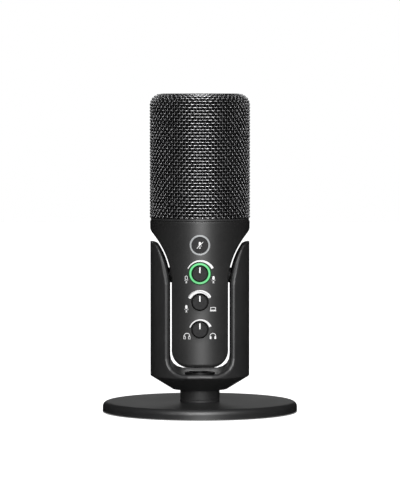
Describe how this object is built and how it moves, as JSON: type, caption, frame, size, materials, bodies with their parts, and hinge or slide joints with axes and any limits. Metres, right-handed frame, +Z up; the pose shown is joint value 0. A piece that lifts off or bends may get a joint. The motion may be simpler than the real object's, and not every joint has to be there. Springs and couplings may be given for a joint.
{
  "type": "desktop microphone",
  "caption": "Desktop USB microphone: a mesh-headed body with rotary controls tilts in a U-shaped yoke on a round weighted table base.",
  "frame": {"origin": "centre of the round base on the table", "axes": "+Z up along the post, the controls face -Y, the sockets face +Y"},
  "size_m": [0.1174, 0.1174, 0.1921],
  "materials": {
    "base_black": "satin black powder coat",
    "yoke_black": "satin black painted die casting",
    "housing_black": "satin black painted die casting",
    "grille_wire": "black painted woven wire",
    "rubber": "matt",
    "foam": "open-cell foam",
    "steel": "plain",
    "brass": "plain",
    "dark_plastic": "fine texture",
    "control_black": "satin",
    "board_green": "solder mask",
    "light_grey": "translucent",
    "light_green": "translucent, lit",
    "white_mark": "matt"
  },
  "bodies": {
    "stand": {"base_plate": "base_black", "base_foot": "rubber", "base_bolt": "steel", "post_ring": "yoke_black", "post": "yoke_black", "yoke": "yoke_black", "thread_insert": "brass", "pivot_screws": "steel", "spring_washers": "steel", "friction_washers": "dark_plastic", "pivot_caps": "yoke_black"},
    "microphone": {"housing": "housing_black", "pivot_bushes": "brass", "rear_cover": "dark_plastic", "cover_screws": "steel", "chassis_plate": "dark_plastic", "chassis_screws": "steel", "control_board": "board_green", "main_board": "board_green", "board_spacers": "brass", "board_screws": "steel", "usb_socket": "steel", "headphone_jack": "dark_plastic", "gain_pot": "dark_plastic", "mix_pot": "dark_plastic", "phones_pot": "dark_plastic", "mute_switch": "dark_plastic", "mute_light_ring": "light_grey", "gain_light_ring": "light_green", "grille_frame": "yoke_black", "grille_wires": "grille_wire", "grille_hoops": "grille_wire", "grille_top": "grille_wire", "grille_top_ring": "grille_wire", "foam_liner": "foam", "capsule_mount": "dark_plastic", "capsule_isolator": "rubber", "capsule": "brass"},
    "mute": {"mute_button": "control_black", "mute_plunger": "steel"},
    "gain": {"gain_knob": "control_black", "gain_shaft": "steel", "gain_pointer": "white_mark"},
    "mix": {"mix_knob": "control_black", "mix_shaft": "steel", "mix_pointer": "white_mark"},
    "phones": {"phones_knob": "control_black", "phones_shaft": "steel", "phones_pointer": "white_mark"}
  },
  "joints": [
    {"name": "tilt", "type": "hinge", "parent": "stand", "child": "microphone", "pos_m": [0, 0, 0.0828], "axis": [1, 0, 0], "range_deg": [-15, 15]},
    {"name": "mute_press", "type": "slide", "parent": "microphone", "child": "mute", "axis": [0, 1, 0], "range_m": [0, 0.0006], "stiffness_N_per_m": 1500},
    {"name": "gain_turn", "type": "hinge", "parent": "microphone", "child": "gain", "pos_m": [0, -0.03, 0.0852], "axis": [0, 1, 0], "range_deg": [-135, 135]},
    {"name": "mix_turn", "type": "hinge", "parent": "microphone", "child": "mix", "pos_m": [0, -0.03, 0.0682], "axis": [0, 1, 0], "range_deg": [-135, 135]},
    {"name": "phones_turn", "type": "hinge", "parent": "microphone", "child": "phones", "pos_m": [0, -0.03, 0.0519], "axis": [0, 1, 0], "range_deg": [-135, 135]}
  ]
}
